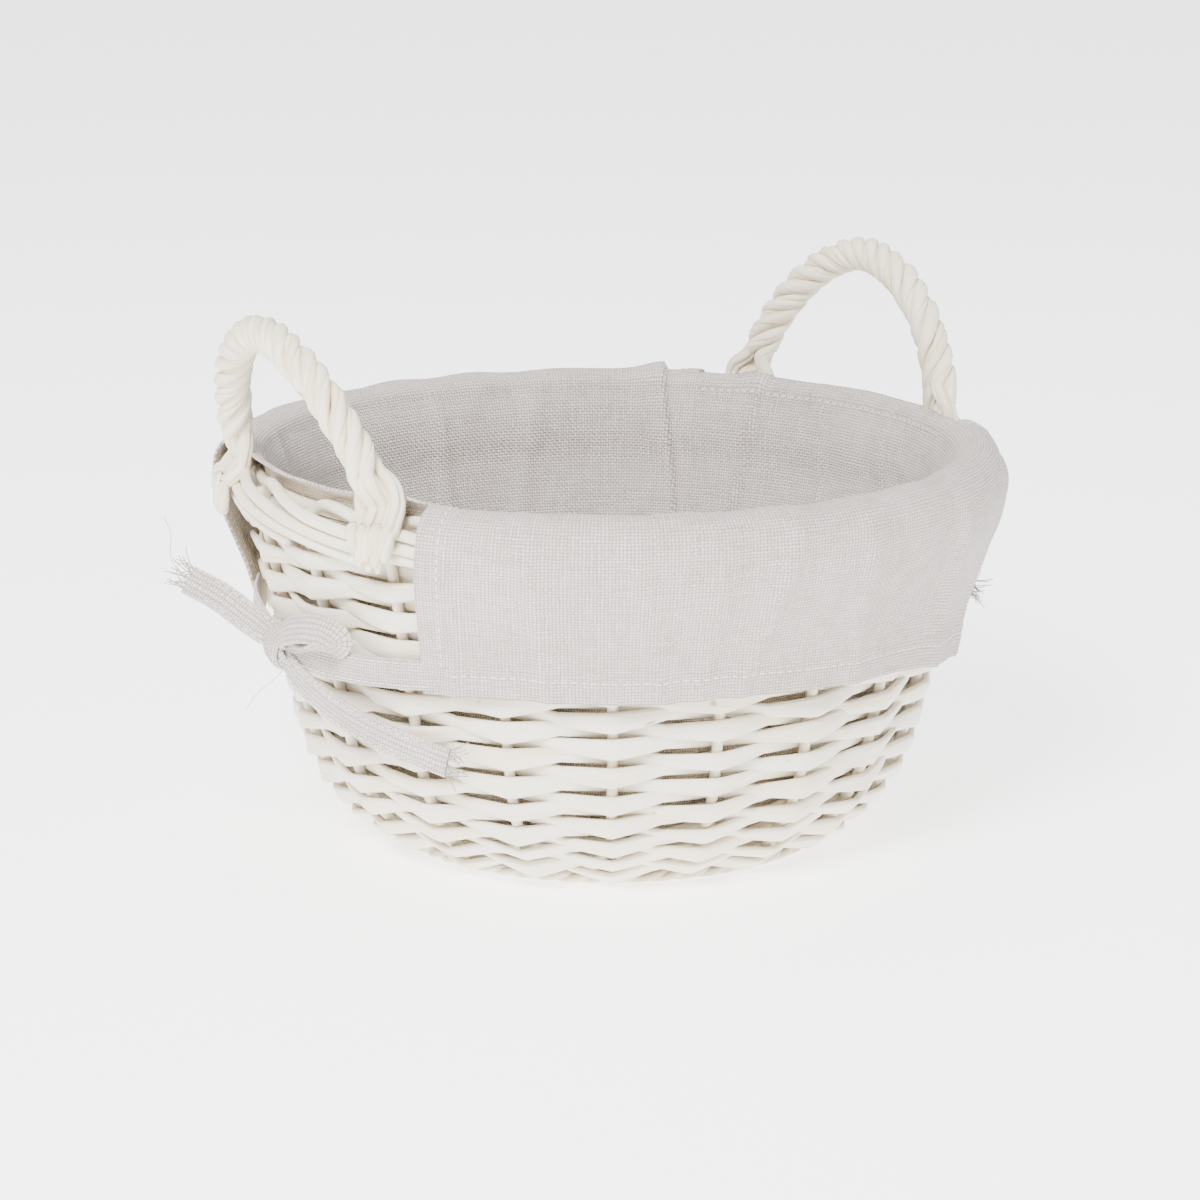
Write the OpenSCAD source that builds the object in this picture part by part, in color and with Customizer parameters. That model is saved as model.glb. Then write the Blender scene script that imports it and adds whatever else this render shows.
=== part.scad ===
// Round willow bread basket with two rope handles and a sewn cloth liner.
// Units are millimetres. The origin is on the basket's axis at the resting plane,
// +Z is up, +X points to the far handle and -Y to the front flap of the liner.

/* [Body] */
// Outer radius of the basket where the wall leaves the base
base_radius = 78.5; // [76:0.5:82]
// Radius of the curve that turns the wall upwards
turn_radius = 65.5; // [62:0.5:70]
// Height of the border's highest rod
body_height = 130.5; // [128:0.5:133]
// Slope of the wall where it leaves the base, in degrees
start_slope = 31; // [28:1:34]
// Slope of the straight upper wall, in degrees
wall_slope = 78; // [77:0.5:80]

/* [Weave] */
// Number of upright stakes
stake_count = 20; // [18:2:22]
// Radius of a stake
stake_r = 1.8; // [1.5:0.1:1.8]
// Rows of weaving between the foot and the border
row_count = 24; // [12:1:24]
// Distance between rows, measured along the wall
row_pitch = 4.95; // [4.95:0.05:5]
// Thickness of a flattened weaving rod
rod_t = 2.4; // [2:0.1:2.4]
// Radius of the round border rods
border_r = 2.1; // [1.8:0.1:2.1]

/* [Handles] */
// Distance between the two feet of a handle
handle_span = 96; // [90:1:100]
// Rise of the arch above the border, measured along its lean
handle_rise = 58; // [50:1:66]
// Outward lean of the near handle, in degrees
near_lean = 18; // [8:1:22]
// Outward lean of the far handle, in degrees
far_lean = 11; // [8:1:22]
// Radius of each of the four strands in the rope
strand_r = 2.35; // [2:0.05:2.35]
// Full turns of the rope from foot to foot
rope_turns = 4; // [3:1:4]

/* [Liner] */
// Thickness of the cloth as a solid
cloth_t = 1.2; // [0.8:0.1:1.2]
// Width of a tie
tie_w = 11; // [9:0.5:12]

/* [Hidden] */
WILLOW = [0.93, 0.91, 0.87];
LINEN = [0.80, 0.77, 0.75];

// The wall's middle surface runs inside the outer outline
skin_depth = 3.5;
mid_r = turn_radius - skin_depth;
turn_x = base_radius - turn_radius * sin(start_slope);
turn_z = 2 + turn_radius * cos(start_slope);
turn_len = mid_r * (wall_slope - start_slope) * PI / 180;
turn_end_z = turn_z - mid_r * cos(wall_slope);

// Weaving rods pass this far in front of and behind the stakes
weave_off = stake_r + rod_t / 2 + 0.1;
row_half = 2.9;
row_half_mid = 2.1;
first_row = 3.2;
stake_phase = 14.4;

// Border: one rod on top, three outside and two inside the stakes
top_rod_z = body_height - border_r;
outer_rod_z = [top_rod_z - 13, top_rod_z - 8.4, top_rod_z - 3.7];
inner_rod_z = [top_rod_z - 7.3, top_rod_z - 2.5];
border_off = stake_r + border_r + 0.2;

// Base: two crossing groups of three sticks, fanned into twelve spokes
stick_z = 4.8;
stick_r = 1.9;
stick_gap = 4.6;
spoke_r = 66;
base_off = stick_r + rod_t / 2 + 0.1;
base_first = 20;
base_pitch = 4.4;
base_rings = 11;
foot_outline = [[70, 0], [76, 0], [77, 1], [77, 2.2], [76, 3.1], [70, 3.1], [69, 2.2], [69, 1]];

// Handles: where their middles face and how the strands leave the rope
near_face = 172;
far_face = 2.6;
foot_r = 123;
handle_x = sqrt(foot_r * foot_r - handle_span * handle_span / 4);
handle_z = 127.6;
arch_power = 1.78;
rope_lay = 3.6;
foot_gap = 4.85;
foot_out = border_off + border_r + strand_r + 0.15;
untwist = 20;
leg_heights = [113, 116, 119, 122, 125, 127.6];
arch_steps = [4, 8, 11, 14, 17, each [20:4:160], 163, 166, 169, 172, 176];

// Liner: the wall's cloth stands this far inside the middle surface
liner_off = weave_off + rod_t / 2 + 0.5;
border_clear = border_off + border_r + 0.4;
liner_floor = 11.3;
liner_bottom_r = 75;
liner_start = 36;
liner_top_z = 126;
// Outer face of a turned-over flap, from inside the border over it to the hem
flap_outline = [[117.2, 126], [119.2, 132.2], [124, 135], [130.4, 134], [134.4, 129], [134, 120],
    [131, 111.5], [126.6, 102], [122.4, 92], [119.7, 82], [118.2, 74]];
front_flap_at = [202, 332];
back_flap_at = [34, 141];

// Ties: points along each one as azimuth, radius and height
front_near_tie = [[201.5, 121.4, 79], [192, 121.6, 77.5], [181, 121.8, 77], [172, 122.6, 77.5]];
back_near_tie = [[141.5, 121.6, 82], [150, 121.2, 81], [159, 121.4, 79.5], [167, 122.6, 78.5]];
front_far_tie = [[332.5, 121.4, 79], [338, 121.4, 78.5], [344, 122.6, 78.5]];
back_far_tie = [[33, 121.4, 79], [20, 121.4, 78], [7, 121.6, 77.5], [-6, 121.8, 78], [-11.6, 122.6, 78.5]];
near_tail_down = [[173, 123, 73.5], [181, 119.5, 67], [190, 116.8, 59], [198, 114.6, 52],
    [204.5, 112.8, 45.8]];
far_tail_down = [[-9, 123, 73.5], [-1, 119.5, 67], [7, 116.8, 60], [14, 115, 54]];
near_tail_up = [[-124.4, 25, 80.5], [-128.5, 33, 86], [-133, 41, 92.5], [-140.5, 51, 98]];
far_tail_up = [[125, -25.5, 77], [129.5, -28.5, 74], [135, -32, 70.5], [140.5, -36, 67]];
near_loop = [[172.5, 123.5, 80], [178, 126.5, 85], [184, 127.8, 89.5], [188.5, 127.4, 91]];
far_loop = [[-20, 123.5, 80], [-26, 125.5, 84.5], [-31, 126.5, 88]];
near_knot = [169.6, 123.6, 78];
far_knot = [-14, 123.6, 78];

function slope_at(s) = s < turn_len ? start_slope + s / mid_r * 180 / PI : wall_slope;
function wall_point(s, off) = let (a = slope_at(s), up = max(0, s - turn_len)) [
    turn_x + (mid_r + off) * sin(a) + up * cos(a),
    turn_z - (mid_r + off) * cos(a) + up * sin(a)];
function slant_at(z) = turn_len + (z - turn_end_z) / sin(wall_slope);
function around(azimuth, p) = [p[0] * cos(azimuth), p[0] * sin(azimuth), p[1]];
function polar(p) = around(p[0], [p[1], p[2]]);
function unit(v) = v / norm(v);
function radial(p) = unit([p[0], p[1], 0]);
function clamp01(t) = min(1, max(0, t));
function smooth(t) = let (u = clamp01(t)) u * u * (3 - 2 * u);
function circle_section(r, sides) =
    [for (j = [0:sides - 1]) r * [cos(360 * j / sides), sin(360 * j / sides)]];
function flat_section(t, w) = [[t, w] / 2, [-t, w] / 2, [-t, -w] / 2, [t, -w] / 2];

// Two axes across a path at each point: face leans towards ref, side completes the frame
function frames(path, refs) = let (last = len(path) - 1) [for (i = [0:last]) let (
    dir = unit(path[min(i + 1, last)] - path[max(i - 1, 0)]),
    side = unit(cross(dir, refs[i])))
    [cross(side, dir), side]];
// Rings of a section carried along a path
function rings_along(path, section, refs) = let (axes = frames(path, refs))
    [for (i = [0:len(path) - 1]) [for (q = section) path[i] + q[0] * axes[i][0] + q[1] * axes[i][1]]];
function radials(path) = [for (p = path) radial(p)];

// A closed solid over rings of points, capped at its ends or joined into a loop
module skin(rings, loop = false) {
    n = len(rings);
    m = len(rings[0]);
    sides = [for (i = [0:(loop ? n - 1 : n - 2)], j = [0:m - 1]) let (
        a = i * m + j,
        b = (i + 1) % n * m + j,
        c = (i + 1) % n * m + (j + 1) % m,
        d = i * m + (j + 1) % m)
        each [[a, b, c], [a, c, d]]];
    first_cap = [for (j = [1:m - 2]) [0, j, j + 1]];
    last_cap = [for (f = first_cap) [for (j = [2:-1:0]) (n - 1) * m + f[j]]];
    polyhedron([for (ring = rings) each ring], concat(sides, loop ? [] : first_cap, loop ? [] : last_cap));
}

module rod(path, r, sides = 6) {
    skin(rings_along(path, circle_section(r, sides), radials(path)));
}

module ribbon(path, refs = undef) {
    faces = refs == undef ? radials(path) : [for (p = path) refs];
    skin(rings_along(path, flat_section(cloth_t, tie_w), faces));
}

// Three parallel sticks that fan out past the crossing, lifted by rise in the middle
module stick_group(turn, rise) {
    for (j = [-1:1]) {
        fan = [for (s = [-1, 1])
            [for (r = [spoke_r, 16]) [s * r * cos(30 * j), s * r * sin(30 * j) * s, stick_z]]];
        middle = [for (s = [-1, 1]) [s * 8, j * stick_gap, stick_z + rise]];
        path = [fan[0][0], fan[0][1], middle[0], middle[1], fan[1][1], fan[1][0]];
        rotate(turn) skin(rings_along(path, circle_section(stick_r, 8), [for (p = path) [0, 0, 1]]));
    }
}

// Lower base sticks, along X
module base_sticks_lower() {
    color(WILLOW) stick_group(0, 0);
}

// Upper base sticks, along Y, lying over the lower ones at the crossing
module base_sticks_upper() {
    color(WILLOW) stick_group(90, 2 * stick_r + 0.3);
}

// Rings of weaving that pass over and under the twelve spokes
module base_weave() {
    color(WILLOW) for (ring = [0:base_rings - 1]) {
        r = base_first + ring * base_pitch;
        skin([for (k = [0:23]) let (z = stick_z + base_off * cos(90 * k + 180 * ring))
            [for (q = [[-1.9, -1], [-1.9, 1], [1.9, 1], [1.9, -1]])
                around(15 * k, [r + q[0], z - q[1] * rod_t / 2])]], loop = true);
    }
}

// Ring under the base that the basket stands on
module foot_ring() {
    color(WILLOW) rotate_extrude($fn = 96) polygon(foot_outline);
}

// Uprights that leave the base, turn up and end under the border's top rod
module stakes() {
    top = slant_at(top_rod_z - border_r - 0.3);
    heights = [each [0:6:48], each [turn_len + 4:20:top - 10], top];
    inner = [69.8, 5.2];
    color(WILLOW) for (k = [0:stake_count - 1]) {
        azimuth = stake_phase + 360 * k / stake_count;
        path = [around(azimuth, inner), for (s = heights) around(azimuth, wall_point(s, 0))];
        side = [-sin(azimuth), cos(azimuth), 0];
        skin(rings_along(path, circle_section(stake_r, 6), [for (p = path) side]));
    }
}

// One row of weaving: it passes outside one stake and inside the next
module weave_row(row) {
    s = first_row + row * row_pitch;
    a = slope_at(s);
    color(WILLOW) skin([for (k = [0:2 * stake_count - 1]) let (
        azimuth = stake_phase + 180 * k / stake_count,
        h = k % 2 == 0 ? row_half : row_half_mid,
        p = wall_point(s, weave_off * cos(90 * k + 180 * row)))
        [for (q = [[-1, -1], [1, -1], [1, 1], [-1, 1]])
            around(azimuth, p + q[0] * h * [cos(a), sin(a)] + q[1] * rod_t / 2 * [sin(a), -cos(a)])]],
        loop = true);
}

// A round rod laid all the way round the border
module border_rod(z, off) {
    color(WILLOW) rotate_extrude($fn = 120)
        translate(wall_point(slant_at(z), off)) circle(r = border_r, $fn = 24);
}

// Middle line of a handle: up one leg, over the arch and down the other leg.
// Each entry is a point and the share of the rope's turns made by then.
function arch_at(t, lean) = let (c = cos(t), rise = handle_rise * pow(max(0, sin(t)), 2 / arch_power))
    [handle_x + rise * sin(lean), handle_span / 2 * sign(c) * pow(abs(c), 2 / arch_power),
     handle_z + rise * cos(lean)];
function leg_at(side, z) = [handle_x, side * handle_span / 2, z];
function handle_line(lean) = [
    for (z = leg_heights) [leg_at(1, z), 0],
    for (t = arch_steps) [arch_at(t, lean), clamp01((t - untwist) / (180 - 2 * untwist))],
    for (i = [len(leg_heights) - 1:-1:0]) [leg_at(-1, leg_heights[i]), 1]];

// Path of one strand: a helix in the rope, and at the feet one of four side by side
function strand_path(line, index) = let (
    middle = [for (q = line) q[0]],
    axes = frames(middle, radials(middle)),
    start = 45 + 90 * index,
    row = sign(sin(start)) * foot_gap * (cos(start) > 0 ? 0.5 : 1.5))
    [for (i = [0:len(line) - 1]) let (
        theta = start + 360 * rope_turns * line[i][1],
        z = middle[i][2],
        open = 90 * (1 - smooth((z - 133) / 11)),
        lift = foot_out * (1 - smooth((z - 125.5) / 8.5)),
        twist_side = rope_lay * sin(theta),
        out = lift + rope_lay * cos(theta) * cos(open),
        aside = twist_side + (row - twist_side) * sin(open))
        middle[i] + out * axes[i][0] + aside * axes[i][1]];

module handle_strand(face, lean, index) {
    color(WILLOW) rotate(face) rod(strand_path(handle_line(lean), index), strand_r);
}

// Outline of a cloth band: the given outer face and the same face moved in by the cloth's thickness
function band(outer) = let (last = len(outer) - 1, inner = [for (i = [0:last]) let (
    dir = unit(outer[min(i + 1, last)] - outer[max(i - 1, 0)]))
    outer[i] + cloth_t * [dir[1], -dir[0]]])
    concat(outer, [for (i = [last:-1:0]) inner[i]]);

// Round cloth on the basket's floor
module liner_bottom() {
    color(LINEN) translate([0, 0, liner_floor]) cylinder(h = cloth_t, r = liner_bottom_r, $fn = 96);
}

// Cloth band that lines the wall and stands inside the border
module liner_wall() {
    lower = [for (a = [liner_start:6:wall_slope]) (a - start_slope) * PI / 180 * mid_r];
    curve = [for (s = lower) wall_point(s, -liner_off)];
    straight = wall_point(slant_at(104), -liner_off);
    upper = [for (z = [112, liner_top_z - 0.2]) wall_point(slant_at(z), -border_clear)];
    face = concat(curve, [straight], upper);
    color(LINEN) rotate_extrude($fn = 120) polygon(band([for (i = [len(face) - 1:-1:0]) face[i]]));
}

// Part of the liner that is turned over the border between the handles
module liner_flap(at) {
    color(LINEN) rotate(at[0]) rotate_extrude(angle = at[1] - at[0], $fn = 120) polygon(band(flap_outline));
}

module tie(path) {
    color(LINEN) ribbon([for (p = path) polar(p)]);
}

// The two free ends of a bow: one lies on the wall, the other stands away from it
module tails(lying, standing) {
    tie(lying);
    color(LINEN) ribbon(standing, [0, 0, 1]);
}

// Rounded knot lying on the wall
module knot(at) {
    color(LINEN) translate(polar(at)) rotate(at[0]) hull() {
        for (y = [-1, 1], z = [-1, 1]) {
            translate([0, y * 3, z * 3]) sphere(r = 2.2, $fn = 20);
        }
    }
}

base_sticks_lower();
base_sticks_upper();
base_weave();
foot_ring();
stakes();
for (i = [1:row_count]) {
    weave_row(i - 1);
}
border_rod(top_rod_z, 0);  // border_top_rod
for (i = [1:3]) {
    border_rod(outer_rod_z[i - 1], border_off);
}
for (i = [1:2]) {
    border_rod(inner_rod_z[i - 1], -border_off);
}
for (i = [1:4]) {
    handle_strand(near_face, near_lean, i);
    handle_strand(far_face, far_lean, i);
}
liner_bottom();
liner_wall();
liner_flap(front_flap_at);  // liner_front_flap
liner_flap(back_flap_at);  // liner_back_flap
tie(front_near_tie);  // near_tie_front
tie(back_near_tie);  // near_tie_back
tie(near_loop);  // near_tie_loop
tails(near_tail_down, near_tail_up);  // near_tie_tails
knot(near_knot);  // near_tie_knot
tie(front_far_tie);  // far_tie_front
tie(back_far_tie);  // far_tie_back
tie(far_loop);  // far_tie_loop
tails(far_tail_down, far_tail_up);  // far_tie_tails
knot(far_knot);  // far_tie_knot
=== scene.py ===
# %% [markdown]
# # A white willow bread basket with a linen liner
# The basket is woven from white-painted willow: twenty stakes stand up from a round base, flattened rods
# pass in front of one stake and behind the next, and a rolled border closes the top. Two rope handles are
# twisted from split willow, and a sewn linen liner is turned over the border and tied under each handle.
# Every surface here is a numpy grid: a rod is a section carried along a path, and the cloth is a profile
# swept round the basket and then creased.

# %% Load the frame
import bpy
import numpy as np
from mathutils import Matrix, Vector


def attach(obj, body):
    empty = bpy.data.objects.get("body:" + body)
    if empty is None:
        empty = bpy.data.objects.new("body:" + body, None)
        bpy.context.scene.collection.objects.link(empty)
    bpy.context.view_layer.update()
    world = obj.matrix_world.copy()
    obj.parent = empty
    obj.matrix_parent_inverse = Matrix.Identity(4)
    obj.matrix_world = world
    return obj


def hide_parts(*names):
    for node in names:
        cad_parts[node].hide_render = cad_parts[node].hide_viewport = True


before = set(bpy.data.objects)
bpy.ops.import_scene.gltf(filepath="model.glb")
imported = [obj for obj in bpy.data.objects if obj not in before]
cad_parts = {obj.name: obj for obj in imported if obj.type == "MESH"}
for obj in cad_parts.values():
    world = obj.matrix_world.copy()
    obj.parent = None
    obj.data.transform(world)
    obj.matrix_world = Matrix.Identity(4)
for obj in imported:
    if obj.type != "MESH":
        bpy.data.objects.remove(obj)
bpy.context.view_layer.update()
MM = 0.001

# %% [markdown]
# The camera stands well back with a long lens, so that the round border stays a calm ellipse. It looks from
# the near-left side, a little above the border.

# %% Camera
AZIMUTH, ELEVATION, DISTANCE = -40.1, 13.68, 1.424
LOOK_AT = Vector((0, 0, 0.070))
LEFT, UP = 0.00295, 0.0078
az, el = np.radians(AZIMUTH), np.radians(ELEVATION)
back = Vector((np.sin(az) * np.cos(el), -np.cos(az) * np.cos(el), np.sin(el)))
right = Vector((np.cos(az), np.sin(az), 0))
above = back.cross(right)
camera = bpy.data.objects.new("camera", bpy.data.cameras.new("camera"))
camera.data.lens = 124.4
camera.data.sensor_width = 36
camera.matrix_world = (Matrix.Translation(LOOK_AT + back * DISTANCE - right * LEFT + above * UP)
                       @ Matrix((right, above, back)).transposed().to_4x4())
bpy.context.scene.collection.objects.link(camera)
bpy.context.scene.camera = camera

# %% [markdown]
# Soft studio light: a bright, even sky for the fill, a large lamp on the upper left for gentle modelling
# and a weaker one on the right. The floor is a pale sheet that belongs to the studio, not to the basket.

# %% Light and floor
def area_light(name, place, size, power):
    """A square lamp at place that faces the basket's middle."""
    lamp = bpy.data.objects.new(name, bpy.data.lights.new(name, "AREA"))
    lamp.data.size = size
    lamp.data.energy = power
    lamp.location = place
    lamp.rotation_euler = (Vector(place) - LOOK_AT).to_track_quat("Z", "Y").to_euler()
    bpy.context.scene.collection.objects.link(lamp)


area_light("key", (-1.2, -0.7, 1.3), 0.6, 80)
area_light("side", (1.1, -1.0, 0.8), 0.9, 8)
area_light("top", (0.3, 0.5, 1.6), 1.0, 16)
world = bpy.data.worlds.new("studio")
bpy.context.scene.world = world
world.use_nodes = True
world.node_tree.nodes["Background"].inputs["Color"].default_value = (1, 1, 1, 1)
world.node_tree.nodes["Background"].inputs["Strength"].default_value = 0.8

# %% [markdown]
# Shader maths reads best as plain expressions, so one small class wraps a socket: adding, multiplying and
# comparing such values makes the Math nodes. Every other node comes from one method, `node`.

# %% Material kit
class Value:
    """A number socket that makes Math nodes when it is used in an expression."""

    def __init__(self, finish, socket):
        self.finish, self.socket = finish, socket

    def _math(self, operation, a, b=None):
        """One Math node; b is left out for an operation on a single number."""
        inputs = {0: a} if b is None else {0: a, 1: b}
        return self.finish.node("ShaderNodeMath", {"operation": operation}, inputs)

    def __add__(self, other):
        return self._math("ADD", self, other)

    def __radd__(self, other):
        return self._math("ADD", other, self)

    def __sub__(self, other):
        return self._math("SUBTRACT", self, other)

    def __rsub__(self, other):
        return self._math("SUBTRACT", other, self)

    def __mul__(self, other):
        return self._math("MULTIPLY", self, other)

    def __rmul__(self, other):
        return self._math("MULTIPLY", other, self)

    def __gt__(self, other):
        return self._math("GREATER_THAN", self, other)

    def sine(self):
        return self._math("SINE", self)


class Finish:
    """One material with its Principled shader; node() adds any node and returns its output."""

    def __init__(self, name, roughness, sheen=0.0):
        self.material = bpy.data.materials.new(name)
        self.material.use_nodes = True
        self.tree = self.material.node_tree
        self.shader = self.tree.nodes["Principled BSDF"]
        self.shader.inputs["Roughness"].default_value = roughness
        self.shader.inputs["Sheen Weight"].default_value = sheen

    def node(self, kind, settings=None, inputs=None, output=0):
        """Any node: its settings first, then the values or links of its inputs."""
        made = self.tree.nodes.new(kind)
        for key, value in (settings or {}).items():
            setattr(made, key, value)
        for key, value in (inputs or {}).items():
            self.feed(made.inputs[key], value)
        return Value(self, made.outputs[output])

    def feed(self, socket, value):
        """Link a Value to a socket, or set a plain number or colour on it."""
        if isinstance(value, Value):
            self.tree.links.new(value.socket, socket)
        else:
            socket.default_value = value

    def surface(self, scale):
        """The piece's own UV map, in metres along and across, multiplied by scale."""
        uv = self.node("ShaderNodeTexCoord", output="UV")
        return self.node("ShaderNodeVectorMath", {"operation": "MULTIPLY"}, {0: uv, 1: scale})

    def noise(self, scale, detail=3.0):
        """Noise over the UV map; scale gives the cells per metre along and across."""
        inputs = {"Vector": self.surface(scale), "Scale": 1.0, "Detail": detail}
        return self.node("ShaderNodeTexNoise", {}, inputs)

    def ramp(self, value, low, high):
        """0 below low, 1 above high and a smooth rise between."""
        settings = {"interpolation_type": "SMOOTHSTEP"}
        return self.node("ShaderNodeMapRange", settings, {"Value": value, "From Min": low, "From Max": high})

    def blend(self, amount, first, second):
        """Mix two colours."""
        made = self.tree.nodes.new("ShaderNodeMix")
        made.data_type = "RGBA"
        self.feed(made.inputs["Factor"], amount)
        self.feed(made.inputs[6], first)
        self.feed(made.inputs[7], second)
        return Value(self, made.outputs[2])

    def bump(self, height, distance, strength=1.0):
        """Bump the surface by height times distance, in metres."""
        inputs = {"Height": height, "Distance": distance, "Strength": strength}
        normal = self.node("ShaderNodeBump", {}, inputs)
        self.feed(self.shader.inputs["Normal"], normal)


# %% [markdown]
# White-washed willow: a thin chalky paint over cream wood. The paint is streaked along each rod, thinner in
# the grooves, and small knots and scuffs show the brown wood. The streaks follow the rod's own UV map, whose
# first axis is the length in metres, so each rod has its grain along it.

# %% Willow finish
def willow_finish(name, paint, cream, bare):
    """Paint, thin patches of cream, and bare wood where the grain or a knot is strongest."""
    finish = Finish(name, 0.55)
    grain = finish.noise((60, 1500, 0))
    patches = finish.noise((14, 90, 0))
    knots = finish.noise((130, 260, 0), 1.0)
    thin = finish.ramp(patches + 0.35 * grain, 0.60, 0.88)
    colour = finish.blend(thin, (*paint, 1), (*cream, 1))
    colour = finish.blend(finish.ramp(grain, 0.64, 0.86) * 0.35, colour, (*bare, 1))
    colour = finish.blend(finish.ramp(knots, 0.735, 0.79) * 0.8, colour, (*bare, 1))
    finish.feed(finish.shader.inputs["Base Color"], colour)
    finish.feed(finish.shader.inputs["Roughness"], 0.46 + 0.22 * grain)
    finish.bump(grain + 0.8 * patches, 0.0006, 0.55)
    return finish.material


WILLOW = willow_finish("white_willow", (0.83, 0.775, 0.665), (0.78, 0.68, 0.49), (0.36, 0.26, 0.15))
ROPE = willow_finish("rope_willow", (0.82, 0.75, 0.61), (0.76, 0.64, 0.42), (0.36, 0.26, 0.15))

# %% [markdown]
# Natural linen in a plain weave, one thread to the millimetre. The sine of each thread axis is zero between
# threads, and the sign of their product says which thread is on top, so the squares of the sines give the
# round backs of the threads. Long streaks of noise along each axis are the slubs of uneven yarn.

# %% Linen finish
THREAD = 0.00105


def linen_finish(name, light, dark, thread=THREAD):
    """Height of the upper thread: sine squared of its axis; painted shade where both threads are low."""
    finish = Finish(name, 0.9, sheen=0.15)
    turns = finish.surface((np.pi / thread, np.pi / thread, 0))
    split = finish.tree.nodes.new("ShaderNodeSeparateXYZ")
    finish.feed(split.inputs[0], turns)
    wobble = (finish.noise((220, 220, 0), 2.0) - 0.5) * 1.6
    warp = (Value(finish, split.outputs[0]) + wobble).sine()
    weft = (Value(finish, split.outputs[1]) + wobble).sine()
    over = (warp * weft) > 0.0
    height = over * warp * warp + (1 - over) * weft * weft
    slub_along = finish.noise((90, 950, 0), 2.0)
    slub_across = finish.noise((950, 90, 0), 2.0)
    yarn = over * slub_across + (1 - over) * slub_along
    tone = finish.ramp(yarn + 0.25 * finish.noise((30, 30, 0)), 0.40, 0.92)
    colour = finish.blend(tone, (*light, 1), (*dark, 1))
    # Painted shade: the gaps where both threads are low are darkened towards a deep tone of the dark yarn.
    painted_gap_shade = [0.45 * part for part in dark]
    colour = finish.blend((1 - finish.ramp(height, 0.0, 0.5)) * 0.85, colour, (*painted_gap_shade, 1))
    finish.feed(finish.shader.inputs["Base Color"], colour)
    finish.bump(height + 0.5 * yarn, 0.0004, 0.8)
    return finish.material


LINEN = linen_finish("natural_linen", (0.70, 0.63, 0.595), (0.46, 0.405, 0.375))
# Painted light: the back faces of the liner lie in shade, so they get a lighter, warmer copy of the same
# linen.
LINEN_BACK_PAINTED_LIGHT = linen_finish("linen_back_painted_light", (0.93, 0.83, 0.69), (0.80, 0.68, 0.53))
THREAD_WHITE = Finish("sewing_thread", 0.8)
thread_noise = THREAD_WHITE.noise((900, 900, 0))
thread_tone = THREAD_WHITE.blend(thread_noise, (0.86, 0.84, 0.82, 1), (0.66, 0.63, 0.61, 1))
THREAD_WHITE.feed(THREAD_WHITE.shader.inputs["Base Color"], thread_tone)
THREAD_WHITE.bump(THREAD_WHITE.noise((2500, 2500, 0)), 0.0002)
FLOOR = Finish("studio_floor", 0.9)
FLOOR.shader.inputs["Base Color"].default_value = (0.92, 0.92, 0.92, 1)
FLOOR.shader.inputs["Emission Color"].default_value = (1, 1, 1, 1)
FLOOR.shader.inputs["Emission Strength"].default_value = 2.3
floor_mesh = bpy.data.meshes.new("studio_floor")
floor_mesh.from_pydata([(-4, -4, 0), (4, -4, 0), (4, 4, 0), (-4, 4, 0)], [], [(0, 1, 2, 3)])
floor_mesh.materials.append(FLOOR.material)
floor = bpy.data.objects.new("studio_floor", floor_mesh)
bpy.context.scene.collection.objects.link(floor)

# %% [markdown]
# Every piece is made of grids. `Shell` collects them: a grid's first direction runs along the rod or round
# the basket, its second goes across, and either may close on itself. A tube that doesn't close gets caps.

# %% Grid and path helpers
class Shell:
    """Grids of points in millimetres, joined in one mesh with a UV map in metres."""

    def __init__(self):
        self.points, self.faces, self.uvs, self.count = [], [], [], 0

    def add(self, grid, along, across, loop_u=False, loop_v=True, keep=None, caps=True, shift=0.0):
        """Quads between neighbours of the grid; the order makes the normal point away from a tube's axis."""
        n, m = grid.shape[:2]
        rows = np.arange(n if loop_u else n - 1)
        columns = np.arange(m if loop_v else m - 1)
        i, j = np.meshgrid(rows, columns, indexing="ij")
        i, j = i.ravel(), j.ravel()
        if keep is not None:
            i, j = i[keep[i, j]], j[keep[i, j]]
        corners = ((i, j), (i, j + 1), (i + 1, j + 1), (i + 1, j))
        quads = np.stack([(a % n) * m + b % m for a, b in corners], 1) + self.count
        uv = np.stack([np.stack([along[a] + shift, across[b]], 1) for a, b in corners], 1)
        self.faces += quads.tolist()
        self.uvs.append(uv.reshape(-1, 2) * MM)
        if caps and loop_v and not loop_u:
            first = self.count + np.arange(m)
            self.faces += [first[::-1].tolist(), (first + (n - 1) * m).tolist()]
            self.uvs.append(np.tile([[shift, 0.0]], (2 * m, 1)) * MM)
        self.points.append(grid.reshape(-1, 3) * MM)
        self.count += n * m

    def make(self, name, material, slot, nodes=(), smooth=True):
        """The finished object: loose points are left out, and it rides on the basket's one body."""
        points, uvs = np.concatenate(self.points), np.concatenate(self.uvs)
        used = np.zeros(len(points), bool)
        used[[k for face in self.faces for k in face]] = True
        new = np.cumsum(used) - 1
        mesh = bpy.data.meshes.new(name)
        mesh.from_pydata(points[used].tolist(), [], [[int(new[k]) for k in face] for face in self.faces])
        layer = mesh.uv_layers.new(name="surface")
        layer.data.foreach_set("uv", uvs.astype(np.float32).ravel())
        mesh.polygons.foreach_set("use_smooth", np.full(len(mesh.polygons), smooth))
        mesh.materials.append(material)
        mesh.update()
        piece = bpy.data.objects.new(name, mesh)
        bpy.context.scene.collection.objects.link(piece)
        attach(piece, "root")
        if nodes:
            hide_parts(*nodes)
        print(name, len(mesh.vertices), "points", len(mesh.polygons), "faces")
        return piece


def unit(v):
    """Each vector divided by its own length."""
    return v / np.maximum(np.linalg.norm(v, axis=-1, keepdims=True), 1e-9)


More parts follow.
